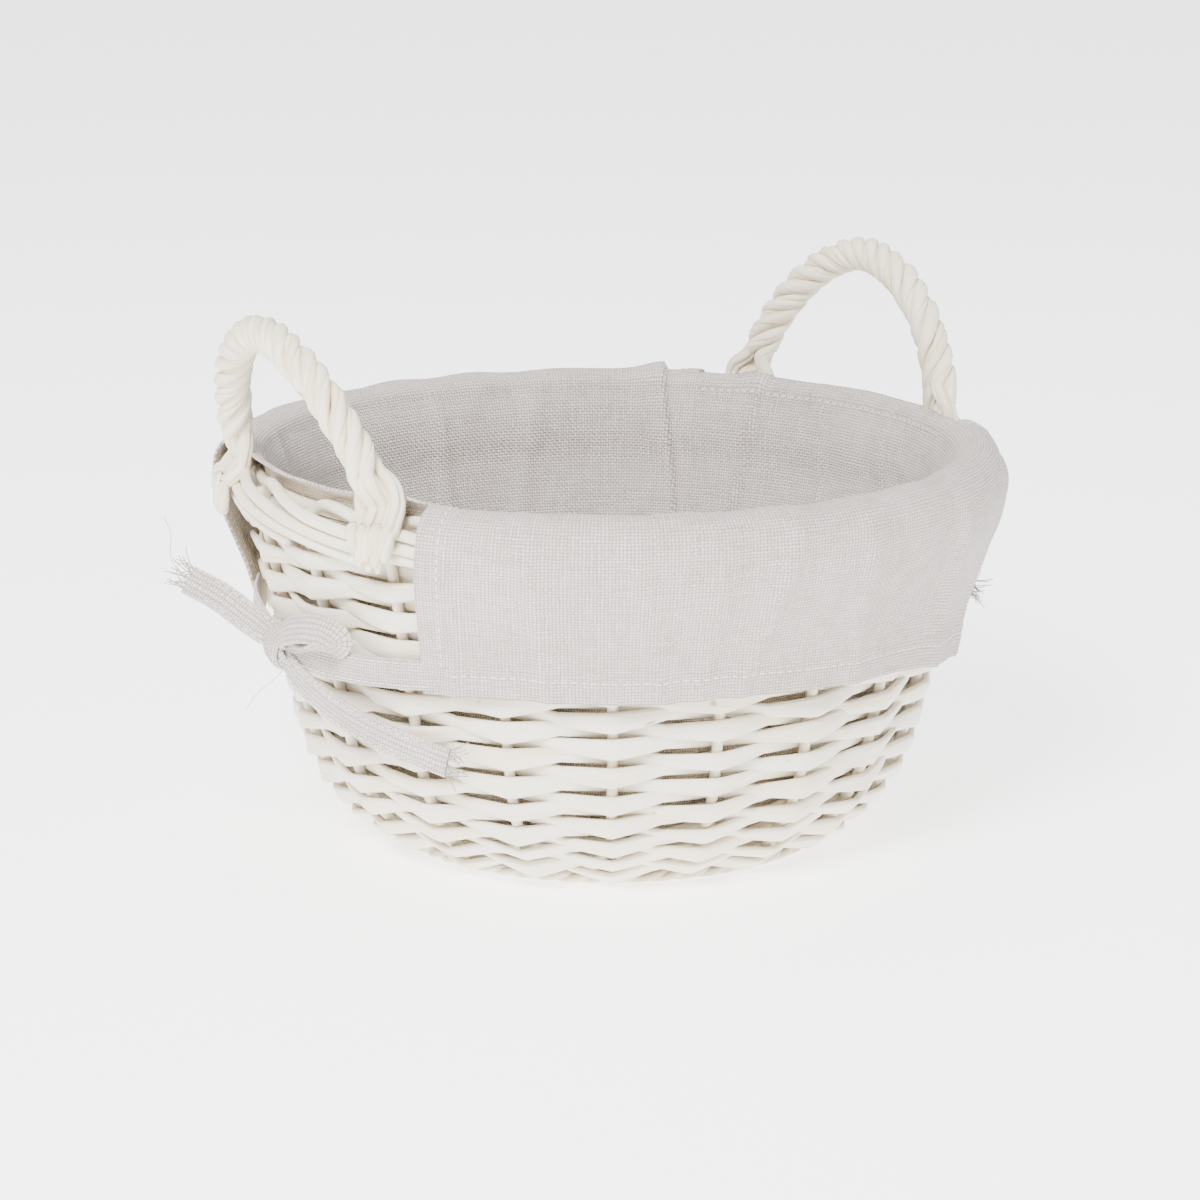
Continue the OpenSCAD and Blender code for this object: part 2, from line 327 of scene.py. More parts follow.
def lengths(path, loop=False):
    """Distance along a path at each point, and once more at the end of a closed one."""
    steps = np.linalg.norm(np.diff(path, axis=0, append=path[:1] if loop else path[-1:]), axis=1)
    return np.concatenate([[0], np.cumsum(steps)])


def radial(path):
    """Level direction away from the basket's axis at each point."""
    return unit(path * [1, 1, 0])


def axes_along(path, refs, loop=False):
    """Two axes across a path: face leans towards refs, side is the direction of travel crossed with it."""
    if loop:
        travel = np.roll(path, -1, 0) - np.roll(path, 1, 0)
    else:
        travel = np.gradient(path, axis=0)
    travel = unit(travel)
    side = unit(np.cross(travel, refs))
    return np.cross(side, travel), side


def carry(path, section, refs, loop=False):
    """A section of (face, side) offsets carried along a path: point + a * face + b * side."""
    face, side = axes_along(path, refs, loop)
    if section.ndim == 2:
        section = np.broadcast_to(section, (len(path), *section.shape))
    return path[:, None] + section[..., :1] * face[:, None] + section[..., 1:] * side[:, None]


def oval(a, b, sides, power=2.0):
    """A superellipse section with half-sizes a and b: |x/a|^power + |y/b|^power = 1."""
    t = np.linspace(0, 2 * np.pi, sides, endpoint=False)
    c, s = np.cos(t), np.sin(t)
    first = a * np.sign(c) * np.abs(c) ** (2 / power)
    second = b * np.sign(s) * np.abs(s) ** (2 / power)
    return np.stack([first, second], -1)


def smooth_path(points, count):
    """A Catmull-Rom curve through the given points, sampled evenly by parameter."""
    p = np.array(points, float)
    p = np.concatenate([[2 * p[0] - p[1]], p, [2 * p[-1] - p[-2]]])
    t = np.linspace(0, len(points) - 1, count)
    k = np.minimum(t.astype(int), len(points) - 2)
    u = (t - k)[:, None]
    a, b, c, d = p[k], p[k + 1], p[k + 2], p[k + 3]
    square = (2 * a - 5 * b + 4 * c - d) * u ** 2
    cube = (3 * b - a - 3 * c + d) * u ** 3
    return 0.5 * (2 * b + (c - a) * u + square + cube)


def polar(points):
    """Azimuth in degrees, radius and height to x, y and z."""
    p = np.asarray(points, float)
    turn = np.radians(p[..., 0])
    return np.stack([p[..., 1] * np.cos(turn), p[..., 1] * np.sin(turn), p[..., 2]], -1)


def ripple(rng, x, waves, low, high):
    """A smooth random wave of x, periodic over 2 pi, between about -1 and 1."""
    k = rng.integers(low, high + 1, waves)
    phase = rng.uniform(0, 2 * np.pi, waves)
    return sum(np.sin(a * x + b) for a, b in zip(k, phase)) / np.sqrt(waves)


def smoothstep(x, low, high):
    """0 below low, 1 above high, and 3t^2 - 2t^3 between."""
    t = np.clip((x - low) / (high - low), 0, 1)
    return t * t * (3 - 2 * t)


# %% [markdown]
# The wall's middle surface is the shape that everything follows: an arc from 31 to 78 degrees of slope, then
# a straight flare to the border. `wall` gives radius and height at a distance along the slope.

# %% Wall shape
START, SLOPE = np.radians(31), np.radians(78)
MID_R, TURN_X, TURN_Z = 62.0, 44.77, 58.14
TURN_LEN = MID_R * (SLOPE - START)
TURN_END_Z = TURN_Z - MID_R * np.cos(SLOPE)


def wall(s, off=0.0):
    """Radius and height: the arc's point plus the straight part, moved off along the outward normal."""
    a = np.clip(START + s / MID_R, None, SLOPE)
    up = np.maximum(0, s - TURN_LEN)
    r = TURN_X + (MID_R + off) * np.sin(a) + up * np.cos(a)
    z = TURN_Z - (MID_R + off) * np.cos(a) + up * np.sin(a)
    return r, z


def slant_at(z):
    """Distance along the slope at which the straight part reaches the height z."""
    return TURN_LEN + (z - TURN_END_Z) / np.sin(SLOPE)


def on_wall(azimuth, s, off):
    """Points at an azimuth, a distance along the slope and an offset from the wall's middle."""
    r, z = wall(s, off)
    return polar(np.stack(np.broadcast_arrays(azimuth, r, z), -1))


STAKES, PHASE = 20, 14.4
STAKE_R, WEAVE_OFF = 1.8, 3.1

# %% [markdown]
# A row of weaving is one flattened rod that swings in front of a stake and behind the next. The swing is
# a triangle wave, because a split rod runs straight and is bent hard at each stake. Past the stake it
# climbs, and it falls back behind the next one. Width and height wander slowly along each row, as no two
# rods are alike.

# %% Weave rows
def weave_row(row):
    """Offset: a triangle wave. Place along the slope: the row's pitch plus the climb past each stake."""
    rng = np.random.default_rng(100 + row)
    steps = STAKES * 14
    turn = np.linspace(0, 2 * np.pi, steps, endpoint=False)
    azimuth = PHASE + np.degrees(turn)
    swing_at = STAKES / 2 * turn + np.pi * row
    swing = 2 / np.pi * np.arcsin(np.cos(swing_at))
    near = np.abs(swing)
    off = (WEAVE_OFF + 0.1) * swing
    beyond = (swing_at / np.pi + 1) % 2 - 1
    climb = np.interp(beyond, [-1, -0.5, 0.02, 0.5, 1], [0.7, -0.35, -0.1, 1.5, 0.7]) - 0.4
    climb = climb + 0.5 * ripple(rng, turn, 5, 2, 9)
    s = 3.2 + 4.95 * row + climb
    path = on_wall(azimuth, s, off)
    slope = np.clip(START + s / MID_R, None, SLOPE)
    tip = 0.22 * ripple(rng, turn, 4, 3, 12)
    facing = polar(np.stack([azimuth, np.sin(slope + tip), -np.cos(slope + tip)], -1))
    tall = (2.45 + 1.3 * near) * (1 + 0.11 * ripple(rng, turn, 4, 1, 6))
    thick = 1.2 * (1 + 0.08 * ripple(rng, turn, 4, 2, 9))
    section = oval(1, 1, 12, 3.4)[None] * np.stack([thick, tall], -1)[:, None]
    shell = Shell()
    shell.add(carry(path, section, facing, loop=True), lengths(path, True), np.linspace(0, 14, 13),
              loop_u=True, shift=row * 1000.0)
    return shell.make(f"wall_rod_{row + 1}", WILLOW, "willow", [f"weave_row_{row + 1}"])


ROWS = len([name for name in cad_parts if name.startswith("weave_row_")])
for row in range(ROWS):
    weave_row(row)

# %% [markdown]
# Stakes are round rods. Each leaves the edge of the base, turns up and ends in the border, with a slight
# wander of its own.

# %% Stakes
def make_stakes():
    """Each stake: an edge point of the base, then the wall's middle line at a slowly wandering azimuth."""
    shell = Shell()
    rng = np.random.default_rng(7)
    for k in range(STAKES):
        s = np.linspace(0, slant_at(126.0), 48)
        azimuth = PHASE + 360 * k / STAKES + 0.25 * ripple(rng, s / 60, 3, 1, 3)
        azimuth += rng.uniform(-0.3, 0.3)
        in_base = polar([[azimuth[0], 69.8, 5.2], [azimuth[0], 73.5, 5.0]])
        path = np.concatenate([in_base, on_wall(azimuth, s, 0)])
        around = np.radians(azimuth.mean())
        refs = np.broadcast_to([-np.sin(around), np.cos(around), 0.0], path.shape)
        grid = carry(path, oval(STAKE_R, STAKE_R, 10), refs)
        shell.add(grid, lengths(path), np.linspace(0, 11, 11), shift=k * 500.0)
    return shell.make("upright_stakes", WILLOW, "willow", ["stakes"])


make_stakes()

# %% [markdown]
# The base is a cross of sticks, three over three, fanned into twelve spokes. Thin rods go over one spoke and
# under the next, ring after ring. A twisted round of weaving, the foot, closes its edge and carries the
# basket, so its underside is pressed flat at the table.

# %% Base
STICK_Z, BASE_OFF = 4.8, 3.2


def base_sticks(name, turn, rise):
    """Three sticks: parallel and lifted by rise at the crossing, fanned 30 degrees apart beyond it."""
    shell = Shell()
    for j in (-1, 0, 1):
        fan = np.radians(30 * j)
        ends = [[s * r * np.cos(fan), r * np.sin(fan), STICK_Z] for s, r in ((-1, 66), (-1, 40), (-1, 17))]
        middle = [[-8, 4.6 * j, STICK_Z + rise], [8, 4.6 * j, STICK_Z + rise]]
        points = ends + middle + [[-x, y, z] for x, y, z in ends[::-1]]
        path = smooth_path(points, 60) @ np.array(Matrix.Rotation(-turn, 3, "Z"))
        refs = np.broadcast_to([0.0, 0.0, 1.0], path.shape)
        grid = carry(path, oval(1.9, 1.9, 10), refs)
        shell.add(grid, lengths(path), np.linspace(0, 12, 11), shift=j * 300.0)
    return shell.make(name, WILLOW, "willow", [name])


def base_weave():
    """Eleven rings; each rises and falls six times a turn, and its neighbour does the opposite."""
    shell = Shell()
    for ring in range(11):
        rng = np.random.default_rng(300 + ring)
        turn = np.linspace(0, 2 * np.pi, 144, endpoint=False)
        swing = np.cos(6 * turn + np.pi * ring)
        r = 20 + 4.4 * ring + 0.3 * ripple(rng, turn, 3, 2, 6)
        z = STICK_Z + BASE_OFF * np.sign(swing) * np.abs(swing) ** 0.85
        path = np.stack([r * np.cos(turn), r * np.sin(turn), z], -1)
        refs = np.broadcast_to([0.0, 0.0, 1.0], path.shape)
        grid = carry(path, oval(1.15, 2.0, 10, 2.4), refs, True)
        shell.add(grid, lengths(path, True), np.linspace(0, 11, 11), True, shift=ring * 500.0)
    return shell.make("base_weaving", WILLOW, "willow", ["base_weave"])


def foot():
    """Three rods twisted round each other along a circle, pressed flat at the table."""
    shell = Shell()
    turn = np.linspace(0, 2 * np.pi, 480, endpoint=False)
    for k in range(3):
        angle = 20 * turn + 2 * np.pi * k / 3
        r = 73.2 + 2.1 * np.cos(angle)
        z = 2.1 + 0.9 * np.sin(angle)
        path = np.stack([r * np.cos(turn), r * np.sin(turn), z], -1)
        refs = np.broadcast_to([0.0, 0.0, 1.0], path.shape)
        grid = carry(path, oval(1.3, 1.7, 10), refs, True)
        grid[..., 2] = np.maximum(grid[..., 2], 0.0)
        shell.add(grid, lengths(path, True), np.linspace(0, 10, 11), True, shift=k * 500.0)
    return shell.make("foot_wale", WILLOW, "willow", ["foot_ring"])


base_sticks("base_sticks_lower", 0, 0)
base_sticks("base_sticks_upper", np.pi / 2, 4.1)
base_weave()
foot()

# %% [markdown]
# The border is rolled: each stake's end comes up inside, crosses over the top and runs down outside in front
# of the next stakes, so that three rods always lie side by side on the outside. Two plain rods close the
# inside. Each rod is one path in azimuth, offset from the wall and height.

# %% Border
def border_rods():
    """Twenty stake ends: offsets and heights along a span of azimuth, over the top and down outside."""
    shell = Shell()
    for k in range(STAKES):
        rng = np.random.default_rng(500 + k)
        start = PHASE + 360 * k / STAKES
        span = np.array([-0.5, 0.3, 3.5, 9, 15, 22, 32, 43, 53, 62, 68])
        off = np.array([0.2, -1.6, -2.8, -0.6, 2.4, 4.2, 4.9, 5.0, 4.6, 4.1, 3.2])
        z = np.array([118, 123, 127.6, 128.9, 128.4, 126.6, 124.0, 121.3, 118.6, 116.4, 115.0])
        z = z + 0.35 * rng.normal(size=len(z))
        off = off + 0.2 * rng.normal(size=len(off))
        points = smooth_path(np.stack([start + span, off, z], -1), 90)
        path = on_wall(points[:, 0], slant_at(points[:, 2]), points[:, 1])
        taper = np.linspace(1.0, 0.86, 90)[:, None, None]
        section = oval(1.95, 2.15, 12)[None] * taper * rng.uniform(0.94, 1.05)
        shell.add(carry(path, section, radial(path)), lengths(path), np.linspace(0, 13, 13), shift=k * 300.0)
    replaced = ["border_top_rod"] + [f"border_outer_rod_{i}" for i in (1, 2, 3)]
    return shell.make("rolled_border", WILLOW, "willow", replaced)


def inner_rods():
    """Two rings on the inside of the wall, each with a slight wander in height."""
    shell = Shell()
    turn = np.linspace(0, 2 * np.pi, 300, endpoint=False)
    for k, z in enumerate((121.0, 125.6)):
        rng = np.random.default_rng(540 + k)
        path = on_wall(np.degrees(turn), slant_at(z) + 0.3 * ripple(rng, turn, 3, 2, 5), -4.1)
        grid = carry(path, oval(1.9, 2.0, 10), radial(path), True)
        shell.add(grid, lengths(path, True), np.linspace(0, 12, 11), True, shift=k * 900.0)
    return shell.make("inner_border_rods", WILLOW, "willow", ["border_inner_rod_1", "border_inner_rod_2"])


border_rods()
inner_rods()

# %% [markdown]
# A handle is a rope of four strands, and each strand is three split lengths of willow twisted together. The
# middle line is an arch: half a superellipse that leans outwards. A strand is a helix round it; at the feet
# the strands open, come over the border and lie side by side on its outside.

# %% Handles
SPAN, FOOT_R, RISE, SPRING_Z, POWER = 96.0, 123.0, 58.0, 127.6, 1.78
LAY, FOOT_GAP, FOOT_OUT, ROPE_TURNS = 3.6, 4.85, 8.9, 4


def arch_line(lean, count=120):
    """Up a leg, over |y|^p + |z|^p = 1, down the other leg; also the share of the rope's turns by then."""
    t = np.radians(np.linspace(0, 180, count))
    rise = RISE * np.sin(t) ** (2 / POWER)
    x = np.sqrt(FOOT_R ** 2 - SPAN ** 2 / 4)
    y = SPAN / 2 * np.sign(np.cos(t)) * np.abs(np.cos(t)) ** (2 / POWER)
    arch = np.stack([x + rise * np.sin(lean), y, SPRING_Z + rise * np.cos(lean)], -1)
    leg = np.linspace(113, SPRING_Z - 1.0, 14)
    up = np.stack([np.full(14, x), np.full(14, SPAN / 2), leg], -1)
    path = np.concatenate([up, arch, (up * [1, -1, 1])[::-1]])
    share = np.clip((np.degrees(t) - 20) / 140, 0, 1)
    return path, np.concatenate([np.zeros(14), share, np.ones(14)])


def handle(side, face, lean):
    """Strand: arch line plus a helix of radius LAY. Split: strand plus a smaller helix."""
    middle, share = arch_line(lean)
    steps = lengths(middle)[:-1]
    even = np.linspace(0, steps[-1], 260)
    middle = np.stack([np.interp(even, steps, middle[:, k]) for k in range(3)], -1)
    share = np.interp(even, steps, share)
    facing, aside = axes_along(middle, radial(middle))
    opening = np.pi / 2 * (1 - smoothstep(middle[:, 2], 133, 144))
    lift = FOOT_OUT * (1 - smoothstep(middle[:, 2], 125.5, 134))
    turn = np.array(Matrix.Rotation(-face, 3, "Z"))
    for k in range(1, 5):
        shell = Shell()
        rng = np.random.default_rng(40 + k + (10 if side == "far" else 0))
        start = np.radians(45 + 90 * k)
        theta = start + 2 * np.pi * ROPE_TURNS * share + 0.10 * ripple(rng, even / 40, 3, 1, 4)
        row = np.sign(np.sin(start)) * FOOT_GAP * (0.5 if np.cos(start) > 0 else 1.5)
        out = lift + LAY * np.cos(theta) * np.cos(opening)
        row = row * (0.62 + 0.38 * smoothstep(middle[:, 2], 112, 130))
        across = LAY * np.sin(theta) + (row - LAY * np.sin(theta)) * np.sin(opening)
        strand = middle + out[:, None] * facing + across[:, None] * aside
        face_axis, side_axis = axes_along(strand, radial(strand))
        for split in range(3):
            swirl = theta * 0.9 + 0.1 * even + 2 * np.pi * split / 3 + 0.25 * ripple(rng, even / 30, 3, 1, 4)
            path = strand + 1.25 * (np.cos(swirl)[:, None] * face_axis + np.sin(swirl)[:, None] * side_axis)
            refs = np.cos(swirl)[:, None] * face_axis + np.sin(swirl)[:, None] * side_axis
            size = 1 + 0.09 * ripple(rng, even / 25, 4, 1, 5)
            cut = rng.integers(0, 9, 2)
            keep = slice(cut[0], len(path) - cut[1])
            path = path[keep]
            to_end = np.minimum(np.arange(len(path)), np.arange(len(path))[::-1])
            size = size[keep] * (1 - 0.6 * np.exp(-to_end / 1.8))
            section = oval(1.3, 1.85, 9, 2.6)[None] * size[:, None, None]
            grid = carry(path, section, refs[keep])
            shell.add(grid @ turn, lengths(path), np.linspace(0, 9, 10), shift=(k * 3 + split) * 310.0)
        shell.make(f"{side}_rope_strand_{k}", ROPE, "willow", [f"{side}_handle_strand_{k}"])


handle("near", np.radians(172), np.radians(18))
handle("far", np.radians(2.6), np.radians(11))

# %% [markdown]
# The liner is a floor cloth sewn to one long band. The band climbs the wall inside, and between the handles
# it goes on over the border and down outside as a flap; at the handles it stops in a hem. One function gives
# a point of the band from the azimuth and the distance along its profile, so the grid, the hems and the
# stitches all sit on the same creased surface.

# %% Liner shape
LINER_IN, BORDER_CLEAR = 5.4, 7.3
FLAPS = {"front": (203.4, 332.0), "back": (34.0, 141.0)}
HEM = 8.6
# Creases as azimuth, lean, width and height
CREASES_INSIDE = ((83, 2, 1.1, 0.9), (62, -9, 1.5, 0.8), (105, 7, 1.4, 0.8), (10, 8, 0.9, 1.1),
                  (128, -6, 1.2, 0.9), (240, 5, 1.5, 0.8), (300, -7, 1.4, 1.0), (352, 4, 1.1, 0.9))
CREASES_OUTSIDE = ((218, 6, 1.6, 0.9), (247, -5, 1.8, 0.8), (268, 4, 1.4, 0.7), (289, 7, 1.9, 1.0),
                   (314, -8, 1.8, 1.1), (55, 6, 1.6, 0.9), (84, -5, 1.8, 0.9), (116, 6, 1.7, 1.0),
                   (208, 1, 1.0, 0.9), (232, 9, 1.2, 0.9), (258, -12, 1.4, 0.9))


def liner_profile():
    """Middle line of the cloth: wall arc and straight inside, over the border, down to the flap's hem."""
    arc = np.radians(np.arange(5.0, 47.0, 3.0)) * MID_R
    s = np.concatenate([arc, [slant_at(z) for z in (70.0, 90.0, 104.0)]])
    inside = np.stack(wall(s, -LINER_IN), -1)
    shoulder = np.stack(wall(slant_at(np.array([113.0, 122.0])), -BORDER_CLEAR), -1)
    over = [[116.9, 128.5], [118.4, 132.2], [121.6, 134.4], [126.0, 135.0], [130.2, 133.3], [133.0, 129.0],
            [133.3, 121.0], [131.0, 111.5], [127.0, 102.0], [122.9, 92.0], [120.2, 82.5], [118.6, 74.0]]
    rough = np.concatenate([inside, shoulder, over])
    curve = smooth_path(np.column_stack([rough, np.zeros(len(rough))]), 900)[:, :2]
    step = np.concatenate([[0], np.cumsum(np.linalg.norm(np.diff(curve, axis=0), axis=1))])
    return step, curve


PROFILE_V, PROFILE = liner_profile()
BAND = PROFILE_V[-1]
CREST_V = PROFILE_V[np.argmax(PROFILE[:, 1])]
HEM_TOP_V = CREST_V - 2.5


def crease(azimuth, v, at, slant, width, height, v0, v1):
    """A ridge along a line that leans by slant degrees over the band, fading out beyond v0 and v1."""
    middle = at + slant * (v - CREST_V) / 100
    away = (azimuth - middle + 180) % 360 - 180
    fade = smoothstep(v, v0, v0 + 14) * (1 - smoothstep(v, v1 - 14, v1))
    return 1.5 * height * np.exp(-(away / width) ** 2) * fade


def tuck(azimuth, v, at, slant, height):
    """A pressed fold: the cloth rises slowly from one side and drops sharply on the other."""
    away = (azimuth - at - slant * (v - CREST_V) / 100 + 180) % 360 - 180
    rise = np.where(away < 0, np.exp(-(away / 0.45) ** 2), np.exp(-(away / 4.5) ** 2))
    return height * rise * smoothstep(v, 8, 60) * (1 - smoothstep(v, CREST_V - 4, CREST_V + 12))


def flap_share(azimuth):
    """For each azimuth: -1 to 1 across its flap, or outside that range between the flaps."""
    share = np.full(np.shape(azimuth), 9.0)
    for low, high in FLAPS.values():
        here = (azimuth - (low + high) / 2 + 180) % 360 - 180
        share = np.where(np.abs(here) < (high - low) / 2 + 6, here / ((high - low) / 2), share)
    return share


def relief(azimuth, v):
    """How far the cloth stands off its plain profile: slow waves, tucks, creases and the doubled hems."""
    turn = np.radians(azimuth)
    rng = np.random.default_rng(11)
    inner = smoothstep(v, 0, 25) * (1 - smoothstep(v, CREST_V - 22, CREST_V - 6))
    outer = smoothstep(v, CREST_V + 14, BAND)
    broad = ripple(rng, turn + 0.002 * v, 6, 3, 14)
    lift = inner * 0.75 * (broad + 0.4 * ripple(rng, turn - 0.004 * v, 5, 15, 34))
    lift = lift + outer * (0.9 + 0.85 * ripple(rng, turn + 0.0015 * v, 6, 4, 17))
    lift = lift + 0.3 * ripple(rng, turn, 6, 8, 30) * smoothstep(v, CREST_V - 20, CREST_V) * (1 - outer)
    lift = lift + tuck(azimuth, v, 40.5, 6.5, 3.8) + tuck(azimuth, v, 196, -4.0, 1.6)
    lift = lift + tuck(azimuth, v, 21, -8.0, 2.6)
    for at, slant, width, height in CREASES_INSIDE:
        lift = lift + crease(azimuth, v, at, slant, width, height, 6, CREST_V)
    for at, slant, width, height in CREASES_OUTSIDE:
        lift = lift + crease(azimuth, v, at, slant, width, height, CREST_V + 2, BAND + 20)
    share = np.abs(flap_share(azimuth))
    half_mm = 148 - 12 * smoothstep(v, CREST_V, BAND)
    side_gap = np.where(share <= 1.0, (1 - share) * half_mm, 99)
    on_flap = (v > HEM_TOP_V) & (share <= 1.001)
    to_gap_hem = np.where(share > 1.001, HEM_TOP_V - v, 99)
    to_edge = np.where(on_flap, np.minimum(side_gap, BAND - v), to_gap_hem)
    doubled = 0.55 * (1 - smoothstep(to_edge, HEM - 0.4, HEM + 1.0))
    groove = -0.35 * np.exp(-((to_edge - HEM + 1.3) / 0.7) ** 2)
    return lift + np.where(to_edge >= -1, doubled + groove, 0)


def cloth_point(azimuth, v, proud=0.0):
    """A point of the band: profile point, moved along its normal by the relief, then turned to azimuth."""
    r = np.interp(v, PROFILE_V, PROFILE[:, 0])
    z = np.interp(v, PROFILE_V, PROFILE[:, 1])
    ahead = np.stack([np.interp(v + 1.5, PROFILE_V, PROFILE[:, k]) for k in (0, 1)], -1)
    behind = np.stack([np.interp(v - 1.5, PROFILE_V, PROFILE[:, k]) for k in (0, 1)], -1)
    travel = unit(ahead - behind)
    off = relief(azimuth, v) + proud
    share = flap_share(azimuth)
    over = smoothstep(v, CREST_V, BAND)
    wander = ripple(np.random.default_rng(21), np.radians(azimuth), 6, 4, 15)
    droop = over * (0.9 * wander - 1.2 * np.abs(share) ** 6)
    limp = smoothstep(azimuth, 262, 318) * (azimuth < 345) * smoothstep(v, CREST_V + 30, BAND)
    droop = droop - 9.0 * limp
    corner = 4.0 * limp + over * np.clip(np.abs(share), 0, 1.1) ** 10 * 1.8
    spread = over * np.where(np.abs(share) < 1.2, share, 0) * 1.3
    left = (azimuth > 180) & (share > -1.2) & (share < 0)
    spread = np.where(left, over * share * 3.4 * smoothstep(-share, 0.5, 1.0), spread)
    r = r - travel[..., 1] * off - corner * 0.6
    z = z + travel[..., 0] * off + droop
    return polar(np.stack([azimuth + spread, r, z], -1))


# %% [markdown]
# Grid lines crowd together at the hems and near the tucks, where the cloth turns sharply, and stay wide
# where it is plain. Faces of the upper part that lie between the flaps are left out. Solidify gives the
# cloth its thickness afterwards.

# %% Liner band
def crowded(low, high, plain, fine, places, reach):
    """Steps from low to high whose size falls from plain to fine within reach of the given places."""
    x = np.linspace(low, high, 6000)
    near = np.min([np.abs(x - p) for p in places], axis=0)
    size = fine + (plain - fine) * smoothstep(near, reach * 0.6, reach * 1.6)
    count = np.concatenate([[0], np.cumsum(np.diff(x) / size[1:])])
    return np.interp(np.linspace(0, count[-1], int(count[-1]) + 1), count, x)


def liner_band():
    """Grid of azimuth and profile distance, finer at edges and folds, open between the flaps."""
    segments = sorted(a for flap in FLAPS.values() for a in flap)
    azimuth = []
    for low, high in zip(segments, segments[1:] + [segments[0] + 360]):
        places = [low, high] + [p for p in (40.5, 196.0, 400.5) if low < p < high]
        azimuth.append(crowded(low, high, 1.15, 0.45, places, 4.0)[:-1])
    azimuth = np.concatenate(azimuth)
    lower = crowded(0, HEM_TOP_V, 2.6, 1.0, [HEM_TOP_V], 8)
    upper = crowded(HEM_TOP_V, BAND, 2.0, 1.0, [HEM_TOP_V, BAND], 8)[1:]
    v = np.concatenate([lower, upper])
    grid = cloth_point(azimuth[:, None], v[None, :])
    turned = azimuth % 360
    covered = np.zeros(len(azimuth), bool)
    for low, high in FLAPS.values():
        covered |= (turned >= low - 1e-6) & (turned < high - 1e-6)
    keep = covered[:, None] | (v[None, :] < HEM_TOP_V - 1e-6)
    along = np.concatenate([azimuth, [azimuth[0] + 360]]) * np.pi / 180 * 122
    shell = Shell()
    shell.add(grid, along, v, loop_u=True, loop_v=False, keep=keep)
    piece = shell.make("liner_band", LINEN, "linen", ["liner_wall", "liner_front_flap", "liner_back_flap"])
    step = np.linalg.norm(np.diff(grid, axis=1), axis=2).mean()
    print("band", round(BAND, 1), "mm deep, mean step", round(float(step), 2))
    return piece


def thicken(piece, thickness, painted_light_back=None):
    """Give a cloth its thickness, half on each side, and, if given, its reverse side a lighter linen as
    painted light.
    """
    solid = piece.modifiers.new("thickness", "SOLIDIFY")
    solid.thickness = thickness
    solid.offset = 0
    # Painted light: the reverse faces get the lighter, warmer linen that stands in for light on the shaded
    # back of the cloth.
    if painted_light_back is not None:
        piece.data.materials.append(painted_light_back)
        solid.material_offset = 1
    return piece


# The liner's back faces get the painted-light linen.
band = thicken(liner_band(), 0.0009, LINEN_BACK_PAINTED_LIGHT)

# %% [markdown]
# The floor cloth is a disc with slack wrinkles towards its seam and a slightly turned-up edge.

# %% Floor cloth
def floor_cloth():
    """Height over the disc: slack waves that grow outwards, and a turned-up edge. Its UV is x and y."""
    r = np.concatenate([[0.4], np.linspace(2.0, 77.5, 46)])
    turn = np.linspace(0, 2 * np.pi, 180, endpoint=False)
    rng = np.random.default_rng(31)
    waves = ripple(rng, turn, 6, 3, 12)[:, None] * 0.7 + ripple(rng, turn, 5, 14, 30)[:, None] * 0.25
    height = 12.0 + waves * smoothstep(r, 20, 74)[None] + 1.5 * smoothstep(r, 70, 77.5)[None]
    grid = np.stack([r[None] * np.cos(turn)[:, None], r[None] * np.sin(turn)[:, None], height], -1)
    shell = Shell()
    along = np.concatenate([turn, [2 * np.pi]]) * 40
    shell.add(grid[:, ::-1], along, r[::-1], loop_u=True, loop_v=False)
    centre = shell.count
    shell.points.append(np.array([[0, 0, 12.0]]) * MM)
    last = np.arange(180) * len(r) + len(r) - 1
    shell.faces += [[int(last[k]), int(centre), int(last[(k + 1) % 180])] for k in range(180)]
    shell.uvs.append(np.zeros((540, 2)))
    shell.count += 1
    piece = shell.make("liner_floor", LINEN, "linen", ["liner_bottom"])
    layer = piece.data.uv_layers[0].data
    corner = np.zeros(len(piece.data.loops), np.int32)
    piece.data.loops.foreach_get("vertex_index", corner)
    place = np.zeros(len(piece.data.vertices) * 3)
    piece.data.vertices.foreach_get("co", place)
    flat = place.reshape(-1, 3)[corner][:, :2]
    layer.foreach_set("uv", flat.astype(np.float32).ravel())
    return thicken(piece, 0.0009)


floor_sheet = floor_cloth()

# %% [markdown]
# Stitches are short threads that dip into the cloth at both ends. The hem line is measured once for the
# whole row, and each stitch is a small tube of its own that follows it.

# %% Hem stitches
def stitch_row(shell, azimuth, v, pitch=3.3, length=2.3, proud=0.62):
    """Stitches along a line of the band: each is a small arched tube of five rings."""
    line = cloth_point(azimuth, v, proud)
    dist = lengths(line)[:-1]
    starts = np.arange(1.0, dist[-1] - length, pitch)
    rings = np.linspace(0, 1, 5)
    for begin in starts:
        at = begin + rings * length
        a = np.interp(at, dist, azimuth)
        d = np.interp(at, dist, v)
        path = cloth_point(a, d, proud - 0.55 * (2 * rings - 1) ** 4)
        refs = cloth_point(a, d, proud + 1.0) - cloth_point(a, d, proud)
        shell.add(carry(path, oval(0.2, 0.27, 6), refs), lengths(path), np.linspace(0, 1.5, 7))


